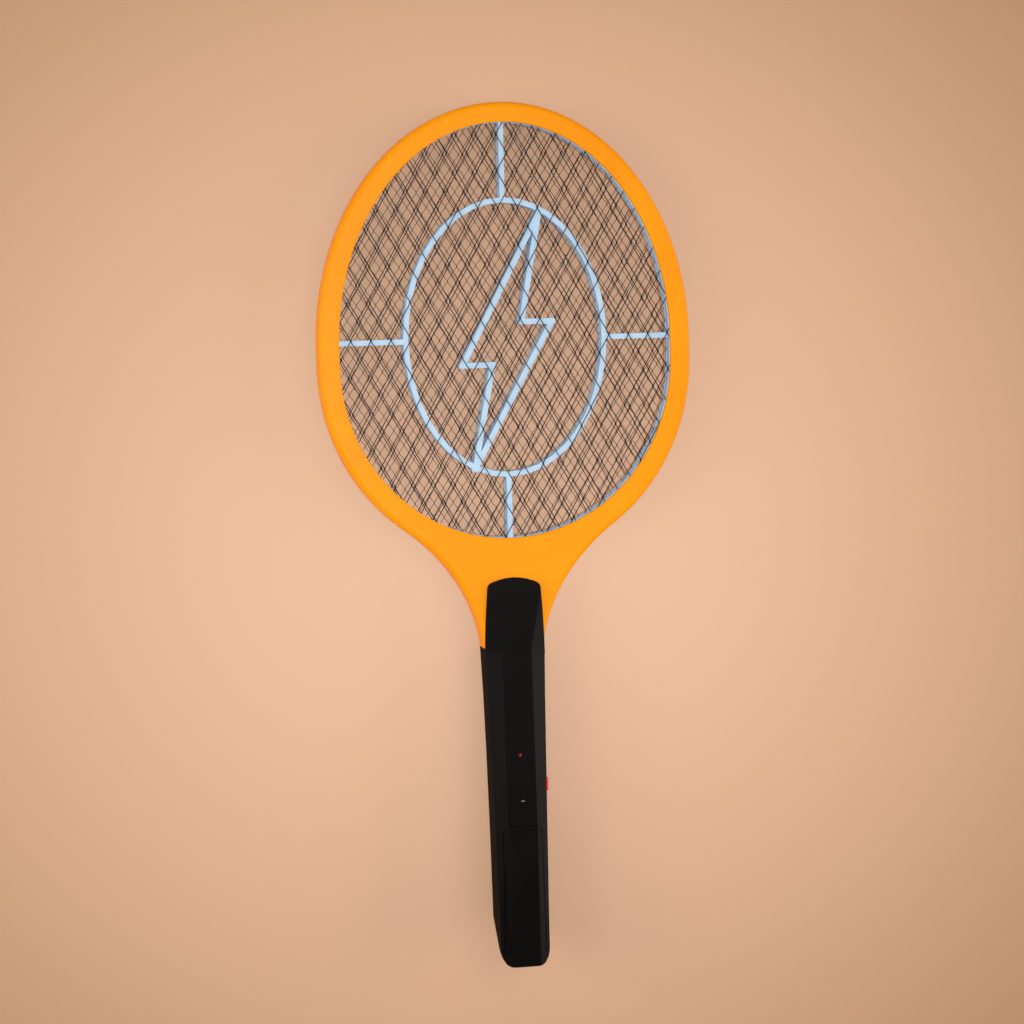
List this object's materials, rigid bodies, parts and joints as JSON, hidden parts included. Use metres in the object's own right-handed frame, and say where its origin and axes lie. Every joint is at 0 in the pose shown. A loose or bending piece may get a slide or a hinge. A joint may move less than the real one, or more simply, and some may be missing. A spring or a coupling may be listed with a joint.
{
  "type": "electric fly swatter",
  "caption": "Hand-held electric fly swatter: an oval racket head holding charged wire grids on a long grip with a push button, an indicator lamp and a battery door.",
  "frame": {"origin": "middle of the whole length and width, on the plane the swatter rests on when it lies on its back", "axes": "+Y from the grip's end to the tip of the head, +Z out of the front face, +X towards the side with the push button"},
  "size_m": [0.2022, 0.464, 0.0315],
  "materials": {
    "orange_plastic": "satin",
    "blue_plastic": "satin",
    "grid_steel": "satin",
    "black_plastic": "satin",
    "red_plastic": "gloss",
    "dark_plastic": "matte",
    "beige_plastic": "matte",
    "cell_jacket": "satin",
    "nickel_steel": "satin",
    "board": "satin",
    "ferrite": "matte",
    "copper": "satin",
    "capacitor_coat": "gloss",
    "lamp_lens": "gloss",
    "black_lead": "matte",
    "red_lead": "matte"
  },
  "bodies": {
    "swatter": {"front_frame": "orange_plastic", "rear_frame": "orange_plastic", "front_spacer": "blue_plastic", "rear_spacer": "blue_plastic", "front_grid": "grid_steel", "centre_grid": "grid_steel", "rear_grid": "grid_steel", "handle_front": "black_plastic", "handle_rear": "black_plastic", "switch_body": "dark_plastic", "battery_cell_1": "cell_jacket", "battery_cell_2": "cell_jacket", "contact_spring_negative": "nickel_steel", "contact_spring_bridge": "nickel_steel", "contact_plate_positive": "nickel_steel", "contact_plate_negative": "nickel_steel", "contact_plate_bridge": "nickel_steel", "circuit_board": "board", "transformer_core": "ferrite", "transformer_winding": "copper", "film_capacitor_1": "capacitor_coat", "film_capacitor_2": "capacitor_coat", "rectifier_diode_1": "dark_plastic", "rectifier_diode_2": "dark_plastic", "rectifier_diode_3": "dark_plastic", "transistor": "dark_plastic", "resistor_1": "beige_plastic", "resistor_2": "beige_plastic", "indicator_lamp": "lamp_lens", "lead_front_grid": "black_lead", "lead_rear_grid": "black_lead", "lead_battery_negative": "black_lead", "lead_charged_grid": "red_lead", "lead_battery_positive": "red_lead", "head_screw_1": "nickel_steel", "head_screw_2": "nickel_steel", "head_screw_3": "nickel_steel", "head_screw_4": "nickel_steel", "head_screw_5": "nickel_steel", "head_screw_6": "nickel_steel", "head_screw_7": "nickel_steel", "head_screw_8": "nickel_steel", "grip_screw_1": "nickel_steel", "grip_screw_2": "nickel_steel", "grip_screw_3": "nickel_steel"},
    "button": {"button_cap": "red_plastic", "switch_plunger": "beige_plastic"},
    "door": {"battery_door": "black_plastic"}
  },
  "joints": [
    {"name": "button_press", "type": "slide", "parent": "swatter", "child": "button", "axis": [-1, 0, 0], "range_m": [0, 0.0009], "stiffness_N_per_m": 600},
    {"name": "battery_door_slide", "type": "slide", "parent": "swatter", "child": "door", "axis": [0, -1, 0], "range_m": [0, 0.078]}
  ]
}
